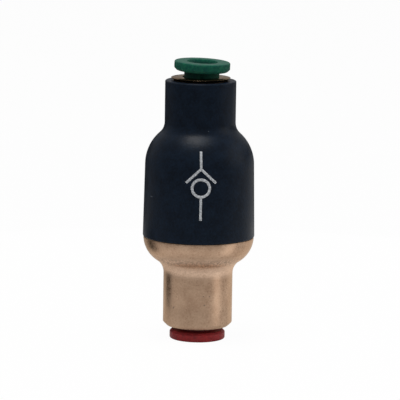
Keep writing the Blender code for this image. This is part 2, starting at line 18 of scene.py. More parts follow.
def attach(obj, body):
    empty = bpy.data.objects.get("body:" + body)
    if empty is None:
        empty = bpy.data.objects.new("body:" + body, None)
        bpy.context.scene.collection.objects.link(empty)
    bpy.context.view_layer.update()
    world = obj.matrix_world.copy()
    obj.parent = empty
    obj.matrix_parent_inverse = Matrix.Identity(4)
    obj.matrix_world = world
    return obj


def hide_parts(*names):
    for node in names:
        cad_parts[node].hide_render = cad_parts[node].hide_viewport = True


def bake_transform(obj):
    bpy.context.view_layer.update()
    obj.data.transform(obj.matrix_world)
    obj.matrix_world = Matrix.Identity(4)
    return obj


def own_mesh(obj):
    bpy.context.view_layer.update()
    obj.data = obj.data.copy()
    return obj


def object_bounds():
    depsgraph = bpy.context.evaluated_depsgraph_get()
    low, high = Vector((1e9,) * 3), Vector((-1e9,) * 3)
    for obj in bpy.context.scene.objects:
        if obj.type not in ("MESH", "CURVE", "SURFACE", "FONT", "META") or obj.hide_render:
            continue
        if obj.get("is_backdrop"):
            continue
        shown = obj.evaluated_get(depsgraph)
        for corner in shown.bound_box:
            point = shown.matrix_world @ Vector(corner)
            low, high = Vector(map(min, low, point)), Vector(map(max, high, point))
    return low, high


MM = 0.001

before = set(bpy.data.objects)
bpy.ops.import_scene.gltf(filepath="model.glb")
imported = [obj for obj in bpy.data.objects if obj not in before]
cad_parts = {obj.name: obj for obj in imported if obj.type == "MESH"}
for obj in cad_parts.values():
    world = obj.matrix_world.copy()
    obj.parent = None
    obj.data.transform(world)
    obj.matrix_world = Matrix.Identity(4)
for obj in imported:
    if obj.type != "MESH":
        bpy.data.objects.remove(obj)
solid_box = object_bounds()

# %% [markdown]
# ## The camera
#
# The photo looks down on the valve by about nine degrees, through a long lens, so that its sides
# hardly converge. The valve leans slightly to the right in the picture. Here the camera is rolled
# instead, because the part itself stands upright in its own frame.

# %% Camera
CAMERA_DISTANCE = 450 * MM
CAMERA_ELEVATION = math.radians(9.3)
CAMERA_ROLL = math.radians(0.841)
CAMERA_TARGET = Vector((0.141, 0, 20.756)) * MM
LENS_LENGTH = 273.1
SENSOR_WIDTH = 36
NEAREST_SEEN = 10 * MM


def aim(thing, away, target):
    """Stand a camera or lamp off from the target, in the direction away, and turn it to face it."""
    thing.location = target + away
    thing.rotation_mode = "QUATERNION"
    thing.rotation_quaternion = (-away).to_track_quat("-Z", "Y")


lens = bpy.data.cameras.new("long lens")
lens.lens = LENS_LENGTH
lens.sensor_width = SENSOR_WIDTH
lens.clip_start = NEAREST_SEEN
camera = bpy.data.objects.new("camera", lens)
bpy.context.scene.collection.objects.link(camera)
bpy.context.scene.camera = camera
back = Vector((0, -math.cos(CAMERA_ELEVATION), math.sin(CAMERA_ELEVATION)))
aim(camera, back * CAMERA_DISTANCE, CAMERA_TARGET)
roll = Matrix.Rotation(CAMERA_ROLL, 4, "Z").to_quaternion()
camera.rotation_quaternion = camera.rotation_quaternion @ roll
print("camera at", [round(x, 4) for x in camera.location])

# %% [markdown]
# ## Turned pieces
#
# Every outside piece of this valve is round about one axis, so each is drawn as half a section and
# spun. A section is a chain of corners and arcs in the XZ plane. An arc is made by spinning the
# chain's last point about the arc's own centre, which is how it would be drawn with compasses. Real
# edges are never sharp, so the corners are bevelled after the spin: light then catches each of them.

# %% Draw a section and spin it
ROUND_STEPS = 160
SMALL_ROUND_STEPS = 128
ARC_STEP = math.radians(4)
MERGE_WITHIN = 0.0005 * MM


def section(start, *moves):
    """Half a section. A move is a corner (r, z), or an arc (r, z, degrees) about that centre."""
    shape = bmesh.new()
    first = tip = shape.verts.new((start[0] * MM, 0, start[1] * MM))
    for move in moves:
        if len(move) == 2:
            tip = bmesh.ops.extrude_vert_indiv(shape, verts=[tip])["verts"][0]
            tip.co = (move[0] * MM, 0, move[1] * MM)
            continue
        turn = math.radians(move[2])
        swept = bmesh.ops.spin(
            shape,
            geom=[tip],
            cent=(move[0] * MM, 0, move[1] * MM),
            axis=(0, -1, 0),
            angle=turn,
            steps=math.ceil(abs(turn) / ARC_STEP),
        )
        tip = [item for item in swept["geom_last"] if isinstance(item, bmesh.types.BMVert)][0]
    if start[0] > 0:
        shape.edges.new((tip, first))
    return shape


def spin_round(shape, steps=ROUND_STEPS):
    """Spin a section once round the Z axis, and close its seam and its poles."""
    bmesh.ops.spin(
        shape,
        geom=shape.verts[:] + shape.edges[:],
        cent=(0, 0, 0),
        axis=(0, 0, 1),
        angle=2 * math.pi,
        steps=steps,
        use_merge=True,
    )
    bmesh.ops.remove_doubles(shape, verts=shape.verts, dist=MERGE_WITHIN)
    bmesh.ops.recalc_face_normals(shape, faces=shape.faces)


def round_edges(shape, radius, segments=3, sharper_than=25):
    """Bevel every edge that is sharper than this many degrees."""
    sharp = [e for e in shape.edges if e.calc_face_angle(0) > math.radians(sharper_than)]
    bmesh.ops.bevel(
        shape,
        geom=sharp,
        offset=radius * MM,
        offset_type="OFFSET",
        affect="EDGES",
        segments=segments,
        profile=0.5,
        material=-1,
        clamp_overlap=True,
    )


# %% Make a shape a piece of the scene
FLAT_FACE_WEIGHT = 60


def piece(name, shape, finish, body, slot, *nodes):
    """Make the shape an object, dress it, let it ride on its body, and let it stand for its nodes."""
    mesh = bpy.data.meshes.new(name)
    shape.to_mesh(mesh)
    shape.free()
    mesh.shade_smooth()
    mesh.materials.append(finish)
    made = bpy.data.objects.new(name, mesh)
    bpy.context.scene.collection.objects.link(made)
    flats = made.modifiers.new("flat faces stay flat", "WEIGHTED_NORMAL")
    flats.keep_sharp = True
    flats.weight = FLAT_FACE_WEIGHT
    if body:
        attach(made, body)
    if nodes:
        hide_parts(*nodes)
    print(name, "has", sum(len(p.vertices) - 2 for p in mesh.polygons), "triangles")
    return made


# %% [markdown]
# ## Nodes for the finishes
#
# A finish starts from the real material and from how its surface was made. Colours are written as
# they look on a screen and turned to linear light by one function. One more function adds a node
# with its settings and its links, so that each material below reads like a short recipe. A pixel of
# the render covers about 0.14 mm, so grain that is finer on the real valve is drawn 0.22 to 0.3 mm
# across, where it just shows.

# %% Colour and node helpers
NOISE_LOW = 0.35
NOISE_HIGH = 0.65


def linear(colour):
    """An sRGB hex colour as linear red, green, blue and full alpha."""
    channels = [int(colour[i : i + 2], 16) / 255 for i in (1, 3, 5)]
    return [c / 12.92 if c <= 0.04045 else ((c + 0.055) / 1.055) ** 2.4 for c in channels] + [1.0]


def add(tree, kind, inputs, **settings):
    """Add a node with its settings. An input is a value, or the socket of another node to link."""
    made = tree.nodes.new(kind)
    for key, value in settings.items():
        setattr(made, key, value)
    for key, value in inputs.items():
        if isinstance(value, bpy.types.NodeSocket):
            tree.links.new(value, made.inputs[key])
        else:
            made.inputs[key].default_value = value
    return made


def per(size):
    """The texture scale at which a pattern repeats about every so many millimetres."""
    return 1 / (size * MM)


def start_material(name, **constants):
    """A material with these constants set on its shader. Gives it, its tree, shader and coordinates."""
    made = bpy.data.materials.new(name)
    made.use_nodes = True
    tree = made.node_tree
    shader = tree.nodes["Principled BSDF"]
    for key, value in constants.items():
        shader.inputs[key.replace("_", " ")].default_value = value
    place = add(tree, "ShaderNodeTexCoord", {}).outputs["Object"]
    return made, tree, shader, place


def blend_colours(tree, share, low, high):
    """A colour that goes from low to high with the share. Low is a hex colour or another blend."""
    low = linear(low) if isinstance(low, str) else low
    mixed = add(tree, "ShaderNodeMix", {0: share, 6: low, 7: linear(high)}, data_type="RGBA")
    return mixed.outputs[2]


def calculate(tree, operation, first, second):
    """The sum, product or greater of two values, or whatever else the operation names."""
    return add(tree, "ShaderNodeMath", {0: first, 1: second}, operation=operation).outputs[0]


def spread(tree, value, low, high, from_low=NOISE_LOW, from_high=NOISE_HIGH):
    """A value spread between low and high. Most of a noise lies in the range it starts from."""
    inputs = {
        "Value": value,
        "From Min": from_low,
        "From Max": from_high,
        "To Min": low,
        "To Max": high,
    }
    return add(tree, "ShaderNodeMapRange", inputs).outputs["Result"]


def noise(tree, place, size, detail=2.0):
    """Cloudy noise with patches about this many millimetres across."""
    inputs = {"Vector": place, "Scale": per(size), "Detail": detail}
    return add(tree, "ShaderNodeTexNoise", inputs).outputs["Fac"]


def bump(tree, height, depth, under=None):
    """Relief of this depth in millimetres, from a height between 0 and 1, on top of another."""
    inputs = {"Height": height, "Distance": depth * MM, "Strength": 1.0}
    if under:
        inputs["Normal"] = under
    return add(tree, "ShaderNodeBump", inputs).outputs["Normal"]


print("a 0.25 mm pattern has a scale of", per(0.25))

# %% Helpers that find a place on the valve


def worn_spot(tree, place, centre, reach, turn=0.0):
    """One inside an egg shape at this centre, fading to zero at its reach along X, Y and Z."""
    inputs = {
        "Vector": place,
        "Location": [c * MM for c in centre],
        "Rotation": (0, turn, 0),
        "Scale": [r * MM for r in reach],
    }
    local = add(tree, "ShaderNodeMapping", inputs, vector_type="TEXTURE").outputs["Vector"]
    away = add(tree, "ShaderNodeVectorMath", {0: local}, operation="LENGTH").outputs["Value"]
    return spread(tree, away, 1, 0, 0.5, 1.0)


def off_axis(tree, place):
    """How far a point is from the valve's axis, in metres."""
    flat = add(tree, "ShaderNodeVectorMath", {0: place, 1: (1, 1, 0)}, operation="MULTIPLY")
    away = add(tree, "ShaderNodeVectorMath", {0: flat.outputs[0]}, operation="LENGTH")
    return away.outputs["Value"]


def off_height(tree, place, height):
    """How far a point is above or below a height in millimetres, in metres."""
    level = add(tree, "ShaderNodeSeparateXYZ", {0: place}).outputs["Z"]
    return calculate(tree, "ABSOLUTE", calculate(tree, "SUBTRACT", level, height * MM), 0)


# %% [markdown]
# ## The black half
#
# This half is injection-moulded from glass-filled nylon. The moulding cools to a satin skin with a
# faint, cloudy unevenness, and it is blue-black rather than grey. Its gloss is weak because the fine
# texture of the mould scatters it. A short scratch and a nick show the paler nylon under the skin.

# %% Black moulded nylon
SCRATCH = ((-6.99, -4.21, 21.86), (0.28, 0.5, 0.11))
NICK = ((1.24, -5.21, 31.76), (0.11, 0.2, 0.09))
WORN_SHARE = 0.7

black_nylon, tree, shader, place = start_material(
    "glass-filled nylon, moulded, blue-black",
    Specular_IOR_Level=0.125,
)
clouds = noise(tree, place, 1.6, detail=3)
grain = noise(tree, place, 0.3)
tone = spread(tree, calculate(tree, "ADD", clouds, grain), 0, 1, 0.75, 1.25)
colour = blend_colours(tree, tone, "#09131f", "#0f1d2d")
scratch = worn_spot(tree, place, *SCRATCH)
nick = worn_spot(tree, place, *NICK)
worn = calculate(tree, "MULTIPLY", calculate(tree, "MAXIMUM", scratch, nick), WORN_SHARE)
tree.links.new(blend_colours(tree, worn, colour, "#59616a"), shader.inputs["Base Color"])
tree.links.new(spread(tree, clouds, 0.35, 0.41), shader.inputs["Roughness"])
tree.links.new(bump(tree, grain, 0.02), shader.inputs["Normal"])

# %% The black half's section
NECK_TOP = 38.65
NECK_RADIUS = 5.25
NECK_EDGE = 0.2
FILLET_Z = 32.43
FILLET = 2.16
SHOULDER = 6.18
SHOULDER_Z = 26.178
SHOULDER_CENTRE = 1.89
BODY_RADIUS = 8.29
SEAM = 15.45
SEAM_EDGE = 0.1
ROUND_MEETS_HOLLOW = math.degrees(
    math.atan2(FILLET_Z - SHOULDER_Z, NECK_RADIUS + FILLET - SHOULDER_CENTRE)
)

# Inside it, from the inlet down: the socket, the tube's bore and stop, the seat and the chamber.
SOCKET_RADIUS = 4.0
SOCKET_END = 33.21
TUBE_BORE = 2.06
TUBE_END = 28.6
FLOW_BORE = 1.4
SEAT_TOP = 26.6
SEAT_RADIUS = 3.5
CHAMBER_TOP = 24.5
CHAMBER_RADIUS = 5.9
JOINT_TOP = 21.0
JOINT_BORE = 6.6
JOINT_LEAD = 0.2

shape = section(
    (BODY_RADIUS - SEAM_EDGE, SEAM),
    (BODY_RADIUS, SEAM + SEAM_EDGE),
    (SHOULDER_CENTRE + SHOULDER, SHOULDER_Z),
    (SHOULDER_CENTRE, SHOULDER_Z, ROUND_MEETS_HOLLOW),
    (NECK_RADIUS + FILLET, FILLET_Z, -ROUND_MEETS_HOLLOW),
    (NECK_RADIUS, NECK_TOP - NECK_EDGE),
    (NECK_RADIUS - NECK_EDGE, NECK_TOP - NECK_EDGE, 90),
    (SOCKET_RADIUS, NECK_TOP),
    (SOCKET_RADIUS, SOCKET_END),
    (TUBE_BORE, SOCKET_END),
    (TUBE_BORE, TUBE_END),
    (FLOW_BORE, TUBE_END),
    (FLOW_BORE, SEAT_TOP),
    (SEAT_RADIUS, CHAMBER_TOP),
    (CHAMBER_RADIUS, CHAMBER_TOP),
    (CHAMBER_RADIUS, JOINT_TOP),
    (JOINT_BORE, JOINT_TOP),
    (JOINT_BORE, SEAM + JOINT_LEAD),
    (JOINT_BORE + JOINT_LEAD, SEAM),
)
spin_round(shape)
round_edges(shape, 0.05, sharper_than=40)
black_half = piece("black_half", shape, black_nylon, "valve_body", "black_polymer", "upper_body")

# %% [markdown]
# ## The printed symbol
#
# A pad prints the symbol of a non-return valve on the black half: a line, an open seat, a ball under
# it and a line out. The ink is pale grey and a little patchy where the pad lifted. It is drawn flat,
# cut into narrow strips so that it can bend, and then each point is sent straight back until it
# meets the black half, as the pad does. The ink is given a thickness so that it has an edge.

# %% Draw the symbol's seat and lines flat
INK_WIDTH = 0.36
RING_WIDTH = 0.39
RING_RADIUS = 1.277
RING_STEPS = 72
SYMBOL_X = 0.25
SEAT_TIP_Z = 26.6
BALL_Z = 23.78
LINE_TOP_Z = 29.08
LINE_TOP_LEAN = 0.06
LINE_END_Z = 19.03
LINE_OVERLAP = 0.02
SEAT_LEG = 3.0
SEAT_SLOPE = math.radians(43.4)

symbol = bmesh.new()


def flat_face(corners):
    """A flat face on the XZ plane, from its corners in millimetres."""
    symbol.faces.new([symbol.verts.new((x * MM, 0, z * MM)) for x, z in corners])


half = INK_WIDTH / 2
leg = Vector((math.cos(SEAT_SLOPE), -math.sin(SEAT_SLOPE)))
side = Vector((math.sin(SEAT_SLOPE), math.cos(SEAT_SLOPE))) * half
tip = Vector((0, SEAT_TIP_Z))
outer_end = tip + leg * SEAT_LEG + side
inner_end = tip + leg * SEAT_LEG - side
crotch = (0, SEAT_TIP_Z - half / math.cos(SEAT_SLOPE))
joint = (half, SEAT_TIP_Z + half / math.cos(SEAT_SLOPE) - half * math.tan(SEAT_SLOPE))
top_x = SYMBOL_X - LINE_TOP_LEAN
for hand in (1, -1):
    arm = [(SYMBOL_X + hand * x, z) for x, z in (crotch, inner_end, outer_end, joint)]
    flat_face(arm + [(top_x + hand * half, LINE_TOP_Z), (top_x, LINE_TOP_Z)])

ring_outside = RING_RADIUS + RING_WIDTH / 2
line_start_z = BALL_Z - ring_outside + LINE_OVERLAP
flat_face(
    [
        (SYMBOL_X - half, LINE_END_Z),
        (SYMBOL_X + half, LINE_END_Z),
        (SYMBOL_X + half, line_start_z),
        (SYMBOL_X - half, line_start_z),
    ]
)
print("seat and lines:", len(symbol.faces), "faces")

# %% Spin the ball's ring
spoke = []
for radius in (ring_outside - RING_WIDTH, ring_outside):
    spoke.append(symbol.verts.new(((SYMBOL_X + radius) * MM, 0, BALL_Z * MM)))
bmesh.ops.spin(
    symbol,
    geom=spoke + [symbol.edges.new(spoke)],
    cent=(SYMBOL_X * MM, 0, BALL_Z * MM),
    axis=(0, 1, 0),
    angle=2 * math.pi,
    steps=RING_STEPS,
    use_merge=True,
)
bmesh.ops.remove_doubles(symbol, verts=symbol.verts, dist=0.002 * MM)
print("with the ring:", len(symbol.faces), "faces")

# %% Cut it into strips and lay it on the black half
STRIP = 0.15
STRIPS = range(-20, 24)
MIDDLE_STRIP_Z = 24
INK_DEPTH = 0.03
INK_PROUD = 0.012
PAD_START = -20 * MM

for i in STRIPS:
    for normal in ((1, 0, 0), (0, 0, 1)):
        centre = (i * STRIP * MM, 0, (MIDDLE_STRIP_Z + 2 * i * STRIP) * MM)
        bmesh.ops.bisect_plane(
            symbol,
            geom=symbol.verts[:] + symbol.edges[:] + symbol.faces[:],
            plane_co=centre,
            plane_no=normal,
        )
bmesh.ops.recalc_face_normals(symbol, faces=symbol.faces)
if symbol.faces[:][0].normal.y > 0:
    bmesh.ops.reverse_faces(symbol, faces=symbol.faces)

skin = BVHTree.FromObject(black_half, bpy.context.evaluated_depsgraph_get())
for vert in symbol.verts:
    start = Vector((vert.co.x, PAD_START, vert.co.z))
    spot, outwards = skin.ray_cast(start, Vector((0, 1, 0)))[:2]
    vert.co = spot + outwards * INK_PROUD * MM
bmesh.ops.solidify(symbol, geom=symbol.faces[:], thickness=INK_DEPTH * MM)
bmesh.ops.recalc_face_normals(symbol, faces=symbol.faces)
print("symbol:", len(symbol.faces), "faces")

# %% Pad-printing ink
pale_ink, tree, shader, place = start_material("pad-printing ink, pale grey", Roughness=0.55)
patches = spread(tree, noise(tree, place, 0.22, detail=3), 0, 1)
tree.links.new(blend_colours(tree, patches, "#a3a7ac", "#d6d9dd"), shader.inputs["Base Color"])
printed_symbol = piece("printed_symbol", symbol, pale_ink, "valve_body", "black_polymer")

# %% [markdown]
# ## The brass half
#
# This half is turned from brass bar, tumbled, and nickel-plated thinly, so that the warm metal
# colours the plate. Tumbling leaves a satin surface with a fine, mottled grain and a few small pits.
# The hollow under the bowl is painted paler, as a painted highlight on the brass mirrored there. It
# is rougher, and its deepest line keeps dark specks. The roughness matters most: it blurs the line where brass
# mirrors brass. A metal shows mostly what is round it, so its grain has to break up the reflections,
# and not only the colour. Three dark marks and a rubbed edge are worn into the neck.

# %% Tumbled and plated brass
METAL_EDGE = (0.85, 0.76, 0.66, 1.0)
DULL_EDGE = (0.7, 0.6, 0.5, 1.0)
STAIN = "#6b5c54"
HOLLOW_HIGHLIGHT_COLOUR = "#e4c5ac"
HOLLOW_Z = 11.4
HOLLOW_HIGHLIGHT_SHARE = 0.65
HOLLOW_ROUGHER = 0.22
GROOVE_Z = 12.25
SPECK_SHARE = 0.65
STAIN_SHARE = 0.7
WEAR_MARKS = [
    ((1.03, -5.03, 5.83), (0.15, 0.3, 0.15), 0),
    ((0.87, -5.07, 7.18), (0.12, 0.3, 0.12), 0),
    ((1.75, -4.83, 7.15), (0.12, 0.3, 0.12), 0),
    ((-3.54, -3.72, 5.2), (0.1, 0.3, 0.3), 0.5),
]


def plated_brass(name, low, high, roughness, grain_depth, marks=(), edge=METAL_EDGE):
    """Metal between two colours, of this roughness and depth of grain, with stains at the marks."""
    made, tree, shader, place = start_material(name, Metallic=1.0, Specular_Tint=edge)
    grain = noise(tree, place, 0.3, detail=3)
    clouds = noise(tree, place, 2.4, detail=2)
    share = spread(tree, calculate(tree, "ADD", grain, clouds), 0, 1, 0.74, 1.26)
    colour = blend_colours(tree, share, low, high)

    # Painted highlight: the hollow under the bowl is painted towards a paler colour; it is made rougher too.
    hollow = off_height(tree, place, HOLLOW_Z)
    in_hollow = spread(tree, hollow, HOLLOW_HIGHLIGHT_SHARE, 0, 0.9 * MM, 1.9 * MM)
    uneven = spread(tree, noise(tree, place, 0.25), 0.6, 1.35)
    painted_highlight = calculate(tree, "MULTIPLY", in_hollow, uneven)
    colour = blend_colours(tree, painted_highlight, colour, HOLLOW_HIGHLIGHT_COLOUR)

    in_groove = spread(tree, off_height(tree, place, GROOVE_Z), 1, 0, 0.3 * MM, 0.9 * MM)
    specks = spread(tree, noise(tree, place, 0.35), 0, 1, 0.46, 0.56)
    stained = calculate(tree, "MULTIPLY", in_groove, specks)
    stained = calculate(tree, "MULTIPLY", stained, SPECK_SHARE)
    for centre, reach, turn in marks:
        mark = worn_spot(tree, place, centre, reach, turn)
        stained = calculate(tree, "MAXIMUM", stained, mark)
    stained = calculate(tree, "MULTIPLY", stained, STAIN_SHARE)
    tree.links.new(blend_colours(tree, stained, colour, STAIN), shader.inputs["Base Color"])

    rough = spread(tree, grain, roughness - 0.05, roughness + 0.05)
    rougher = calculate(tree, "MULTIPLY", in_hollow, HOLLOW_ROUGHER)
    tree.links.new(calculate(tree, "ADD", rough, rougher), shader.inputs["Roughness"])

    pits = add(tree, "ShaderNodeTexVoronoi", {"Vector": place, "Scale": per(0.9)})
    pit_floor = spread(tree, pits.outputs["Distance"], 0, 1, 0.03, 0.09)
    relief = bump(tree, grain, grain_depth)
    tree.links.new(bump(tree, pit_floor, 0.013, under=relief), shader.inputs["Normal"])
    return made


body_brass = plated_brass(
    "nickel-plated brass, tumbled satin", "#a88971", "#c3a48a", 0.32, 0.01, WEAR_MARKS
)

# %% The brass half's section
LOWER_RADIUS = 8.2
LOWER_SEAM = 15.4
BOWL = 4.19
BOWL_FILLET = 2.28
LOWER_NECK = 5.14
FOOT = 1.98
FOOT_CHAMFER = 0.55
bowl_across = LOWER_NECK + BOWL_FILLET - (LOWER_RADIUS - BOWL)
bowl_drop = math.sqrt((BOWL + BOWL_FILLET) ** 2 - bowl_across**2)
bowl_turn = math.degrees(math.atan2(bowl_drop, bowl_across))

# Inside the black half: the spigot with the groove of its seal. Then down its own inside: the
# shelf of the spring's guide, the funnel, the passage, the tube's bore, the socket and the collar's
# seat.
SPIGOT_RADIUS = 6.55
SPIGOT_TOP = 20.9
SPIGOT_EDGE = 0.2
SEAL_GROOVE_RADIUS = 5.6
SEAL_GROOVE_LOW = 19.22
SEAL_GROOVE_HIGH = 20.4
GUIDE_RADIUS = 4.9
GUIDE_SHELF = 17.0
FUNNEL_RADIUS = 4.2
FUNNEL_TOP = 14.8
FUNNEL_END = 13.6
LOWER_TUBE_END = 12.85
LOWER_SOCKET_END = 8.24
COLLAR_SEAT = 2.8
COLLAR_SEAT_RADIUS = 4.43

shape = section(
    (LOWER_NECK - FOOT_CHAMFER, FOOT),
    (LOWER_NECK, FOOT + FOOT_CHAMFER),
    (LOWER_NECK, LOWER_SEAM - bowl_drop),
    (LOWER_NECK + BOWL_FILLET, LOWER_SEAM - bowl_drop, -bowl_turn),
    (LOWER_RADIUS - BOWL, LOWER_SEAM, bowl_turn),
    (SPIGOT_RADIUS, LOWER_SEAM),
    (SPIGOT_RADIUS, SEAL_GROOVE_LOW),
    (SEAL_GROOVE_RADIUS, SEAL_GROOVE_LOW),
    (SEAL_GROOVE_RADIUS, SEAL_GROOVE_HIGH),
    (SPIGOT_RADIUS, SEAL_GROOVE_HIGH),
    (SPIGOT_RADIUS, SPIGOT_TOP - SPIGOT_EDGE),
    (SPIGOT_RADIUS - SPIGOT_EDGE, SPIGOT_TOP),
    (GUIDE_RADIUS, SPIGOT_TOP),
    (GUIDE_RADIUS, GUIDE_SHELF),
    (FUNNEL_RADIUS, GUIDE_SHELF),
    (FUNNEL_RADIUS, FUNNEL_TOP),
    (FLOW_BORE, FUNNEL_END),
    (FLOW_BORE, LOWER_TUBE_END),
    (TUBE_BORE, LOWER_TUBE_END),
    (TUBE_BORE, LOWER_SOCKET_END),
    (SOCKET_RADIUS, LOWER_SOCKET_END),
    (SOCKET_RADIUS, COLLAR_SEAT),
    (COLLAR_SEAT_RADIUS, COLLAR_SEAT),
    (COLLAR_SEAT_RADIUS, FOOT),
)
spin_round(shape)
round_edges(shape, 0.06, sharper_than=24)
brass_half = piece("brass_half", shape, body_brass, "valve_body", "plated_brass", "lower_body")

# %% [markdown]
# ## The collars
#
# A thin plated ring closes each socket round its button. Its face is turned and polished, so it
# mirrors the button's stem in front and the studio at the sides. The face falls slightly from the
# hole to the rim, as a pressed ring does, and the lip flares out over the neck to a thin edge. Its
# plate is duller than the body's at a shallow angle, which is how the photo sees it.

# %% Collars
INLET_COLLAR = 39.12
OUTLET_COLLAR = 2.33
COLLAR_HOLE = 2.72
COLLAR_HOLE_Z = -0.06
COLLAR_LIP = 4.38
COLLAR_LIP_Z = 0.04
COLLAR_LIP_EDGE = 0.02
COLLAR_SKIRT = 3.95
COLLAR_FLARE_END = 0.42
COLLAR_SKIRT_INSIDE = 3.2
COLLAR_SKIRT_END = 2.38
COLLAR_FACE_BACK = 0.8

collar_brass = plated_brass(
    "nickel-plated brass, polished face", "#8d765d", "#9d866b", 0.16, 0.002, edge=DULL_EDGE
)


def set_in_place(shape, height, looks_up):
    """Turn an end's piece over where its face looks up, and lift it to its height."""
    turn = Matrix.Rotation(math.pi if looks_up else 0, 4, "X")
    lift = Matrix.Translation((0, 0, height * MM))
    bmesh.ops.transform(shape, matrix=lift @ turn, verts=shape.verts)


def collar(name, height, looks_up, node):
    """The ring is drawn with its face at zero and its depth upwards, then put in its place."""
    shape = section(
        (COLLAR_HOLE, COLLAR_HOLE_Z),
        (COLLAR_LIP, COLLAR_LIP_Z),
        (COLLAR_LIP, COLLAR_LIP_Z + COLLAR_LIP_EDGE),
        (COLLAR_SKIRT, COLLAR_FLARE_END),
        (COLLAR_SKIRT, COLLAR_SKIRT_END),
        (COLLAR_SKIRT_INSIDE, COLLAR_SKIRT_END),
        (COLLAR_SKIRT_INSIDE, COLLAR_FACE_BACK),
        (COLLAR_HOLE, COLLAR_FACE_BACK),
    )
    spin_round(shape, steps=SMALL_ROUND_STEPS)
    round_edges(shape, 0.008)
    set_in_place(shape, height, looks_up)
    return piece(name, shape, collar_brass, "valve_body", "plated_brass", node)


collar("inlet_collar_ring", INLET_COLLAR, True, "inlet_collar")
collar("outlet_collar_ring", OUTLET_COLLAR, False, "outlet_collar")

# %% [markdown]
# ## The release buttons
#
# A release button is an acetal collet. Its head stands out of the collar, and four barbed fingers
# reach down to the grip ring. Pressing the head spreads the ring's teeth and frees the tube. The
# inlet button sits a little crooked in its collar, as loose-fitting collets do, so it is tipped about
# its barbs by two degrees to the right and by one degree to the front. That is within the play that
# the collar leaves it.
#
# The colour is painted darker on the stem and in the bore, below the mouth. This is painted shade,
# where the head above the stem and the walls of the bore keep the light out.

# %% Coloured acetal
MIDDLE_Z = 20.725
MOUTH_AWAY = (20.05, 20.5)
BORE_RADII = (2.45, 2.55)
STEM_RADII = (2.65, 2.75)
BORE_SHADE_SHARE = 0.75
STEM_SHADE_SHARE = 0.55


def acetal(name, low, high, shade_colour, roughness):
    """Moulded acetal between two colours, with painted shade of the shade colour on the stem and in the bore."""
    made, tree, shader, place = start_material(name, Specular_IOR_Level=0.1)
    clouds = noise(tree, place, 0.7, detail=3)
    tone = calculate(tree, "ADD", clouds, noise(tree, place, 0.25))
    colour = blend_colours(tree, spread(tree, tone, 0, 1, 0.78, 1.22), low, high)

    # Painted shade: the stem and the bore, below the mouth, turn towards the shade colour.
    away = off_axis(tree, place)
    shade_in_bore = spread(tree, away, BORE_SHADE_SHARE, 0, *[r * MM for r in BORE_RADII])
    shade_on_stem = spread(tree, away, STEM_SHADE_SHARE, 0, *[r * MM for r in STEM_RADII])
    from_middle = off_height(tree, place, MIDDLE_Z)
    below_mouth = spread(tree, from_middle, 1, 0, *[z * MM for z in MOUTH_AWAY])
    painted_shade = calculate(tree, "MAXIMUM", shade_in_bore, shade_on_stem)
    painted_shade = calculate(tree, "MULTIPLY", painted_shade, below_mouth)
    tree.links.new(blend_colours(tree, painted_shade, colour, shade_colour), shader.inputs["Base Color"])

    rough = spread(tree, clouds, roughness - 0.05, roughness + 0.05)
    tree.links.new(rough, shader.inputs["Roughness"])
    tree.links.new(bump(tree, noise(tree, place, 0.25), 0.008), shader.inputs["Normal"])
    return made


# The third colour of each acetal is its painted shade.
green_acetal = acetal("acetal, moulded, green", "#124c43", "#1d664e", "#0a2528", 0.38)
red_acetal = acetal("acetal, moulded, red", "#8a2f32", "#aa3638", "#2a161e", 0.42)

# %% A saw for slots


def saw_slots(shape, count, width, inner, outer, low, high):
    """Saw slots through a ring, evenly spaced. Each slot is a box, and a Boolean takes it away."""
    cutter = bmesh.new()
    size = Matrix.Diagonal(((outer - inner) * MM, width * MM, (high - low) * MM, 1))
    middle = Matrix.Translation(Vector((inner + outer, 0, low + high)) * MM / 2)
    for i in range(count):
        turn = Matrix.Rotation(2 * math.pi * i / count, 4, "Z")
        bmesh.ops.create_cube(cutter, size=1, matrix=turn @ middle @ size)
    made = []
    for name, half_done in (("ring", shape), ("slot_cutter", cutter)):
        mesh = bpy.data.meshes.new(name)
        half_done.to_mesh(mesh)
        half_done.free()
        made.append(bpy.data.objects.new(name, mesh))
        bpy.context.scene.collection.objects.link(made[-1])
    saw = made[0].modifiers.new("slots", "BOOLEAN")
    saw.operation = "DIFFERENCE"
    saw.solver = "EXACT"
    saw.object = made[1]
    slotted = bmesh.new()
    slotted.from_object(made[0], bpy.context.evaluated_depsgraph_get())
    for thing in made:
        bpy.data.objects.remove(thing, do_unlink=True)
    bmesh.ops.remove_doubles(slotted, verts=slotted.verts, dist=MERGE_WITHIN)
    bmesh.ops.recalc_face_normals(slotted, faces=slotted.faces)
    return slotted


# %% Release buttons
HEAD_FACE = -2.33
HEAD_BACK = -0.98
HEAD_RADIUS = 4.12
HEAD_EDGE = 0.12
HEAD_BACK_CHAMFER = 0.35
MOUTH_RADIUS = 2.3
MOUTH_DEPTH = 0.9
STEM_RADIUS = 2.6
BARB_RADIUS = 3.0
BARB_START = 0.86
BARB_END = 1.21
NOSE_RADIUS = 2.35
NOSE_START = 2.01
NOSE_END = 2.61
FINGERS = 4
FINGER_GAP = 0.5
PIVOT = 1.0


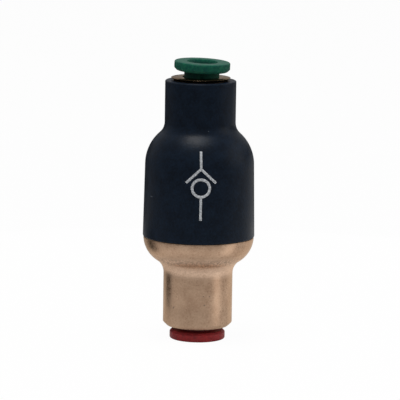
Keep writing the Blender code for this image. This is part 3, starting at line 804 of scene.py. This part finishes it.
def release_button(name, height, looks_up, finish, body, slot, node, tip=0, nod=0, shift=0):
    """Tip leans the head to the right and nod leans it to the front, in degrees."""
    shape = section(
        (MOUTH_RADIUS, HEAD_FACE),
        (HEAD_RADIUS - HEAD_EDGE, HEAD_FACE),
        (HEAD_RADIUS, HEAD_FACE + HEAD_EDGE),
        (HEAD_RADIUS, HEAD_BACK - HEAD_BACK_CHAMFER),
        (HEAD_RADIUS - HEAD_BACK_CHAMFER, HEAD_BACK),
        (STEM_RADIUS, HEAD_BACK),
        (STEM_RADIUS, BARB_START),
        (BARB_RADIUS, BARB_START),
        (BARB_RADIUS, BARB_END),
        (NOSE_RADIUS, NOSE_START),
        (NOSE_RADIUS, NOSE_END),
        (TUBE_BORE, NOSE_END),
        (TUBE_BORE, HEAD_FACE + MOUTH_DEPTH),
    )
    spin_round(shape, steps=SMALL_ROUND_STEPS)
    round_edges(shape, 0.08, sharper_than=30)
    shape = saw_slots(shape, FINGERS, FINGER_GAP, inner=1.0, outer=4.0, low=0.4, high=3.4)
    turn = Matrix.Rotation(math.radians(tip), 4, "Y") @ Matrix.Rotation(math.radians(nod), 4, "X")
    lean = Matrix.Translation((0, 0, PIVOT * MM)) @ turn
    move = Matrix.Translation((shift * MM, 0, -PIVOT * MM))
    bmesh.ops.transform(shape, matrix=lean @ move, verts=shape.verts)
    set_in_place(shape, height, looks_up)
    return piece(name, shape, finish, body, slot, node)


release_button(
    "green_button",
    INLET_COLLAR,
    True,
    green_acetal,
    "inlet_button",
    "green_polymer",
    "inlet_release_button",
    tip=-2.3,
    nod=1.2,
    shift=0.075,
)
release_button(
    "red_button",
    OUTLET_COLLAR,
    False,
    red_acetal,
    "outlet_button",
    "red_polymer",
    "outlet_release_button",
)

# %% [markdown]
# ## The pieces inside
#
# The thrust rings, the seals, the poppet and the spring's guide keep their solids, because their
# shapes are right and little of them shows down the bores. They get the finish of the real stock:
# natural acetal, nitrile rubber and plain turned brass. The stainless steel made here is for the
# spring and the grip rings, which come next.

# %% Steel, natural acetal, rubber and turned brass
spring_steel, tree, shader, place = start_material(
    "stainless spring steel, drawn bright",
    Metallic=1.0,
)
drawn = noise(tree, place, 0.4)
tree.links.new(blend_colours(tree, drawn, "#a9a9a6", "#bdbdb9"), shader.inputs["Base Color"])
tree.links.new(spread(tree, drawn, 0.22, 0.34), shader.inputs["Roughness"])

natural_acetal = acetal("acetal, moulded, natural", "#d8d4c6", "#e2dfd3", "#cfcabb", 0.45)

nitrile, tree, shader, place = start_material(
    "nitrile rubber, moulded, dull",
    Specular_IOR_Level=0.35,
)
bloom = noise(tree, place, 0.5, detail=3)
tree.links.new(blend_colours(tree, bloom, "#161617", "#212122"), shader.inputs["Base Color"])
tree.links.new(spread(tree, bloom, 0.6, 0.75), shader.inputs["Roughness"])

turned_brass = plated_brass("brass, turned and plated", "#a58d68", "#bba47c", 0.28, 0.003)

inside = {
    "inlet_thrust_ring": natural_acetal,
    "outlet_thrust_ring": natural_acetal,
    "inlet_tube_seal": nitrile,
    "outlet_tube_seal": nitrile,
    "body_seal": nitrile,
    "poppet_seal": nitrile,
    "poppet_stem": turned_brass,
    "poppet_nose": turned_brass,
    "spring_guide": turned_brass,
}
for name, finish in inside.items():
    for material_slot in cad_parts[name].material_slots:
        material_slot.material = finish
print("dressed", len(inside), "solids inside")

# %% [markdown]
# ## The pieces that flex
#
# Two kinds of piece change shape as the valve works. The spring is wound from wire, with its end
# turns closed, and it shortens as the poppet opens. It is a small circle spun round the axis while
# it climbs. The grip rings are stamped with bent teeth, which the button's nose pushes further in.

# %% Spring
WIRE = 0.13
WIRE_SIDES = 10
COIL = 1.68
COIL_LOW = 18.43
COIL_HIGH = 23.6
CLOSED_RISE = 0.286
ACTIVE_TURNS = 4
STEPS_PER_TURN = 40

shape = bmesh.new()
upright = Matrix.Rotation(math.pi / 2, 4, "X")
wire_end = Matrix.Translation((COIL * MM, 0, COIL_LOW * MM)) @ upright
bmesh.ops.create_circle(
    shape, cap_ends=True, segments=WIRE_SIDES, radius=WIRE * MM, matrix=wire_end
)
tip = shape.verts[:] + shape.edges[:] + shape.faces[:]
active_rise = COIL_HIGH - COIL_LOW - 2 * CLOSED_RISE
for turns, rise in ((1, CLOSED_RISE), (ACTIVE_TURNS, active_rise), (1, CLOSED_RISE)):
    steps = turns * STEPS_PER_TURN
    swept = bmesh.ops.spin(
        shape,
        geom=tip,
        cent=(0, 0, 0),
        axis=(0, 0, 1),
        dvec=(0, 0, rise / steps * MM),
        angle=2 * math.pi * turns,
        steps=steps,
    )
    tip = swept["geom_last"]
bmesh.ops.recalc_face_normals(shape, faces=shape.faces)
coil = piece("wound_spring", shape, spring_steel, "valve_body", "spring_steel", "spring")
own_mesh(coil)

# %% Grip rings
RIM_RADIUS = 3.95
RIM_TOP = 2.43
RIM_THICKNESS = 0.25
BEND_INSIDE = 3.25
BEND_OUTSIDE = 3.33
TOOTH_RADIUS = 1.92
TOOTH_BACK_RADIUS = 2.06
TOOTH_TIP = 3.36
TOOTH_THICKNESS = 0.2
TEETH = 8
TOOTH_GAP = 0.5
RING_ROUND_STEPS = 96


def grip_teeth(name, height, looks_up, node):
    """Stamped ring with its rim and bent teeth, slotted and set in place at its end of the valve."""
    shape = section(
        (RIM_RADIUS, RIM_TOP),
        (RIM_RADIUS, RIM_TOP + RIM_THICKNESS),
        (BEND_OUTSIDE, RIM_TOP + RIM_THICKNESS),
        (TOOTH_BACK_RADIUS, TOOTH_TIP + TOOTH_THICKNESS),
        (TOOTH_RADIUS, TOOTH_TIP),
        (BEND_INSIDE, RIM_TOP),
    )
    spin_round(shape, steps=RING_ROUND_STEPS)
    shape = saw_slots(shape, TEETH, TOOTH_GAP, inner=0.96, outer=BEND_INSIDE, low=2.2, high=4.6)
    round_edges(shape, 0.02, segments=2, sharper_than=50)
    set_in_place(shape, height, looks_up)
    made = piece(name, shape, spring_steel, None, "spring_steel", node)
    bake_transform(made)


grip_teeth("inlet_grip_teeth", INLET_COLLAR, True, "inlet_grip_ring")
grip_teeth("outlet_grip_teeth", OUTLET_COLLAR, False, "outlet_grip_ring")

# %% [markdown]
# ## The studio
#
# The valve stands on a plain white floor under one large soft box, with a weak one at its right. The
# floor is white to the camera and in reflections, and it still takes the valve's shadow. Far out it
# turns into a dark bench that the camera doesn't see.
#
# Gloss at a shallow angle shows what stands far off, and in the photo that was an unlit room. Plain
# pieces that only gloss sees stand for it, and they add no light to the valve's colours. A dim dome
# is the room, a pool of light and two low grey lips are the bench round the foot, and the cards and
# walls draw the dark and the bright upright bands on the metal neck and the edge of the black half.

# %% Floor
FLOOR_RADIUS = 1.6
FLOOR_SIDES = 64
FLOOR_GLOW = 0.97


def studio_piece(name, shape, finish):
    """Make the shape a piece of the studio, which is no part of the valve."""
    mesh = bpy.data.meshes.new(name)
    shape.to_mesh(mesh)
    shape.free()
    mesh.shade_smooth()
    mesh.materials.append(finish)
    made = bpy.data.objects.new(name, mesh)
    bpy.context.scene.collection.objects.link(made)
    made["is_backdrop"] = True
    return made


def seen_rays(tree):
    """One where a ray comes from the camera or from gloss, or passes through glass; zero elsewhere."""
    path = add(tree, "ShaderNodeLightPath", {}).outputs
    seen = calculate(tree, "MAXIMUM", path["Is Camera Ray"], path["Is Glossy Ray"])
    return calculate(tree, "MAXIMUM", seen, path["Is Transmission Ray"])


white_floor = bpy.data.materials.new("floor, white")
white_floor.use_nodes = True
tree = white_floor.node_tree
tree.nodes.clear()
paint = add(tree, "ShaderNodeBsdfDiffuse", {"Color": (0.9, 0.9, 0.9, 1)}).outputs[0]
glow = add(tree, "ShaderNodeEmission", {"Color": (1, 1, 1, 1), "Strength": 1.0}).outputs[0]
share = calculate(tree, "MULTIPLY", seen_rays(tree), FLOOR_GLOW)
surface = add(tree, "ShaderNodeMixShader", {0: share, 1: paint, 2: glow}).outputs[0]
add(tree, "ShaderNodeOutputMaterial", {"Surface": surface})

shape = bmesh.new()
bmesh.ops.create_circle(shape, cap_ends=True, segments=FLOOR_SIDES, radius=FLOOR_RADIUS)
studio_piece("floor", shape, white_floor)

# %% Dark bench round the white floor
BENCH_START = 95
BENCH_Z = 0.1


def turned_screen(name, start, end, finish, first=-180, last=180):
    """A line from one (r, z) to another, turned from the first azimuth to the last about the axis."""
    shape = bmesh.new()
    line = [shape.verts.new((0, -r * MM, z * MM)) for r, z in (start, end)]
    line.append(shape.edges.new(line))
    place = Matrix.Rotation(math.radians(first), 4, "Z")
    bmesh.ops.transform(shape, matrix=place, verts=shape.verts)
    bmesh.ops.spin(
        shape,
        geom=line,
        cent=(0, 0, 0),
        axis=(0, 0, 1),
        angle=math.radians(last - first),
        steps=FLOOR_SIDES,
    )
    made = studio_piece(name, shape, finish)
    made.visible_camera = False
    made.visible_shadow = False
    return made


bench_grey = bpy.data.materials.new("bench, dark grey, matt")
bench_grey.use_nodes = True
shader = bench_grey.node_tree.nodes["Principled BSDF"]
shader.inputs["Base Color"].default_value = (0.12, 0.12, 0.12, 1)
shader.inputs["Roughness"].default_value = 1.0
turned_screen("dark_bench", (BENCH_START, BENCH_Z), (FLOOR_RADIUS / MM, BENCH_Z), bench_grey)

# %% What only gloss sees: the room, the pool of light and the lips
ROOM_RADIUS = 1.4
ROOM_LEVEL = 0.4
POOL = ((3, 0.15), (125, 0.15))
LIP = ((12, 0.2), (12, 3.5))
LIP_LEVEL = 0.66


def glow_material(name, level):
    """A grey of this level that gives its own light."""
    made = bpy.data.materials.new(name)
    made.use_nodes = True
    tree = made.node_tree
    tree.nodes.clear()
    light = add(tree, "ShaderNodeEmission", {"Color": (level, level, level, 1), "Strength": 1.0})
    add(tree, "ShaderNodeOutputMaterial", {"Surface": light.outputs[0]})
    return made


def gloss_only(thing):
    """Hide a piece of the studio from everything but gloss."""
    thing.visible_camera = False
    thing.visible_diffuse = False
    thing.visible_shadow = False
    thing.visible_transmission = False


shape = bmesh.new()
bmesh.ops.create_uvsphere(shape, u_segments=48, v_segments=24, radius=ROOM_RADIUS)
dim_dome = studio_piece("dim_dome", shape, glow_material("unlit room", ROOM_LEVEL))
gloss_only(dim_dome)

lit_pool = glow_material("pool of light on the floor", 1.0)
tree = lit_pool.node_tree
place = add(tree, "ShaderNodeTexCoord", {}).outputs["Object"]
distance = off_axis(tree, place)
edge = spread(tree, distance, 0.68, 0.12, 100 * MM, 125 * MM)
rise = spread(tree, distance, 0, 0.22, 12 * MM, 21 * MM)
fall = spread(tree, distance, 0, 0.22, 28 * MM, 38 * MM)
level = calculate(tree, "ADD", edge, calculate(tree, "SUBTRACT", rise, fall))
tree.links.new(level, tree.nodes["Emission"].inputs["Strength"])
gloss_only(turned_screen("lit_pool", *POOL, lit_pool, -180, 110))

grey_lip = glow_material("grey lip round the foot", LIP_LEVEL)
gloss_only(turned_screen("front_lip", *LIP, grey_lip, -103, 30))
gloss_only(turned_screen("side_lip", *LIP, grey_lip, 64, 103))
print("pool and lips are seen by gloss alone")

# %% Cards and walls


def card(name, azimuth, distance, width, low, high, level):
    """An upright card that faces the valve. Azimuth 0 is the camera's side and 90 the right."""
    shape = bmesh.new()
    bmesh.ops.create_grid(shape, x_segments=1, y_segments=1, size=0.5)
    size = Matrix.Diagonal((width * MM, (high - low) * MM, 1, 1))
    upright = Matrix.Rotation(math.radians(90), 4, "X")
    middle = Matrix.Translation((0, -distance * MM, (low + high) / 2 * MM))
    round_it = Matrix.Rotation(math.radians(azimuth), 4, "Z")
    bmesh.ops.transform(shape, matrix=round_it @ middle @ upright @ size, verts=shape.verts)
    made = studio_piece(name, shape, glow_material(name, level))
    gloss_only(made)
    return made


card("dark_card", azimuth=-106, distance=26, width=13, low=0, high=13, level=0.07)
card("bright_card", azimuth=58, distance=18, width=6.5, low=0, high=14, level=1.28)
card("right_card", azimuth=128, distance=70, width=60, low=0, high=6, level=1.1)
card("right_wall", azimuth=128, distance=70, width=60, low=6, high=60, level=0.42)
card("right_shade", azimuth=128, distance=69, width=60, low=30, high=42, level=0.05)
card("left_wall", azimuth=-155, distance=70, width=55, low=5, high=42, level=0.04)

# %% Soft boxes and ambient light
LIT_POINT = Vector((0, 0, 20)) * MM
AMBIENT = 0.3


def soft_box(name, size, away, radiance):
    """A square lamp that stands off from the valve's middle and is as bright as this everywhere."""
    lamp = bpy.data.lights.new(name, "AREA")
    lamp.shape = "SQUARE"
    lamp.size = size
    lamp.energy = radiance * math.pi * size**2
    made = bpy.data.objects.new(name, lamp)
    bpy.context.scene.collection.objects.link(made)
    aim(made, Vector(away), LIT_POINT)
    made.visible_camera = False


soft_box("overhead_box", 0.36, (-0.065, -0.1, 0.72), 8.5)
soft_box("side_box", 0.45, (0.47, 0.02, 0.14), 0.8)

world = bpy.data.worlds.new("studio")
bpy.context.scene.world = world
world.use_nodes = True
tree = world.node_tree
tree.nodes.clear()
level = spread(tree, seen_rays(tree), AMBIENT, 1.0, 0, 1)
ambient = add(tree, "ShaderNodeBackground", {"Color": (1, 1, 1, 1), "Strength": level}).outputs[0]
add(tree, "ShaderNodeOutputWorld", {"Surface": ambient})

# %% [markdown]
# ## Finish
#
# The view is left plain, so that a colour shows as it is written. The box of the dressed valve is
# written beside the box of its solids, to show that the looks kept to the size of the part.

# %% View and sizes
bpy.context.scene.view_settings.view_transform = "Standard"
boxes = {"solids": [list(corner) for corner in solid_box], "looks": [list(corner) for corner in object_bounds()]}
for key, (low, high) in boxes.items():
    print(key, "in mm:", [round((b - a) / MM, 3) for a, b in zip(low, high)])
